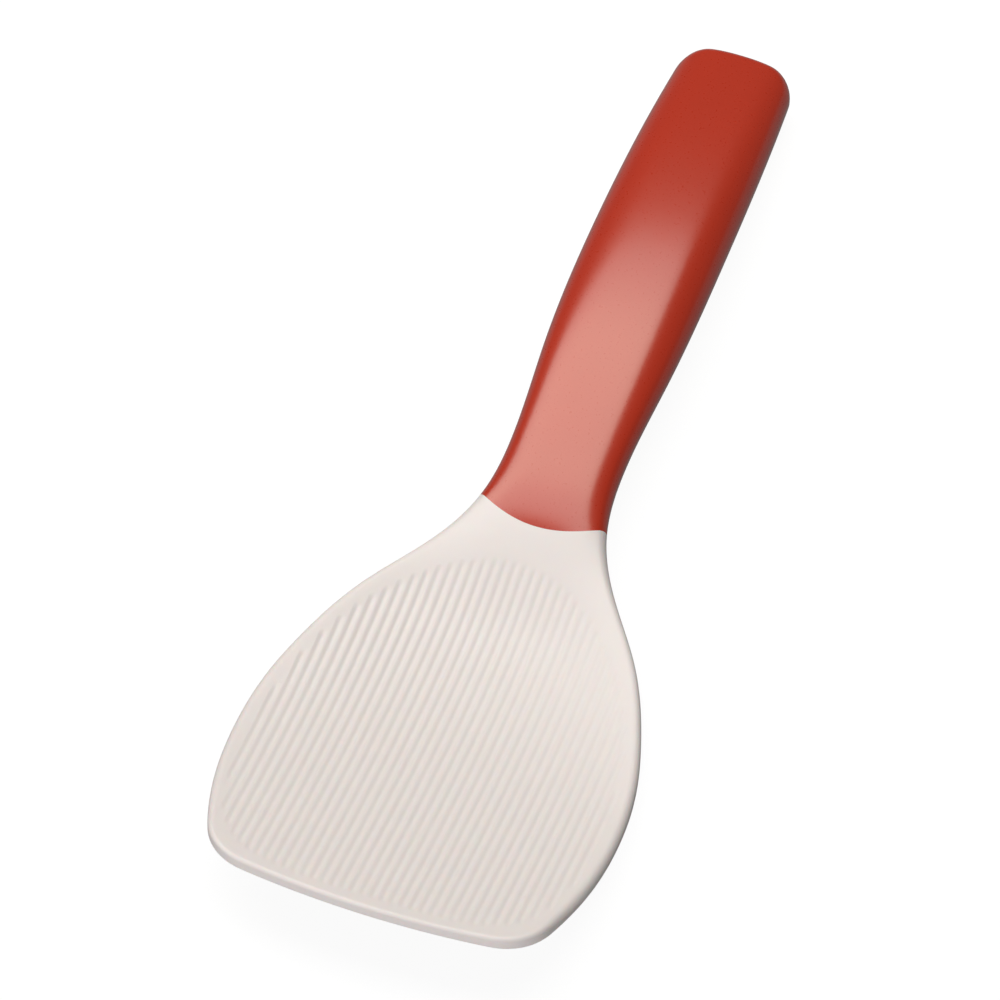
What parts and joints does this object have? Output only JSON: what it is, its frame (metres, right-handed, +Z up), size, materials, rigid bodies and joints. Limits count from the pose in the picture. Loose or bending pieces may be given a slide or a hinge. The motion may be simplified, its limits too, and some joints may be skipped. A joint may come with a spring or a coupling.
{
  "type": "rice paddle",
  "caption": "Broad, shallow scoop with lengthwise ribs on its hollow face, a waisted neck and an arched moulded handle.",
  "frame": {"origin": "on the table, under the middle of the whole length, where the paddle lies on its belly and butt with the hollow face up", "axes": "+X from the butt of the handle to the tip of the blade, +Y across the blade, +Z up"},
  "size_m": [0.222, 0.0787, 0.0182],
  "materials": {
    "white_nylon": "satin",
    "red_handle": "gloss"
  },
  "bodies": {
    "root": {"blade": "white_nylon", "grip": "red_handle"}
  },
  "joints": []
}
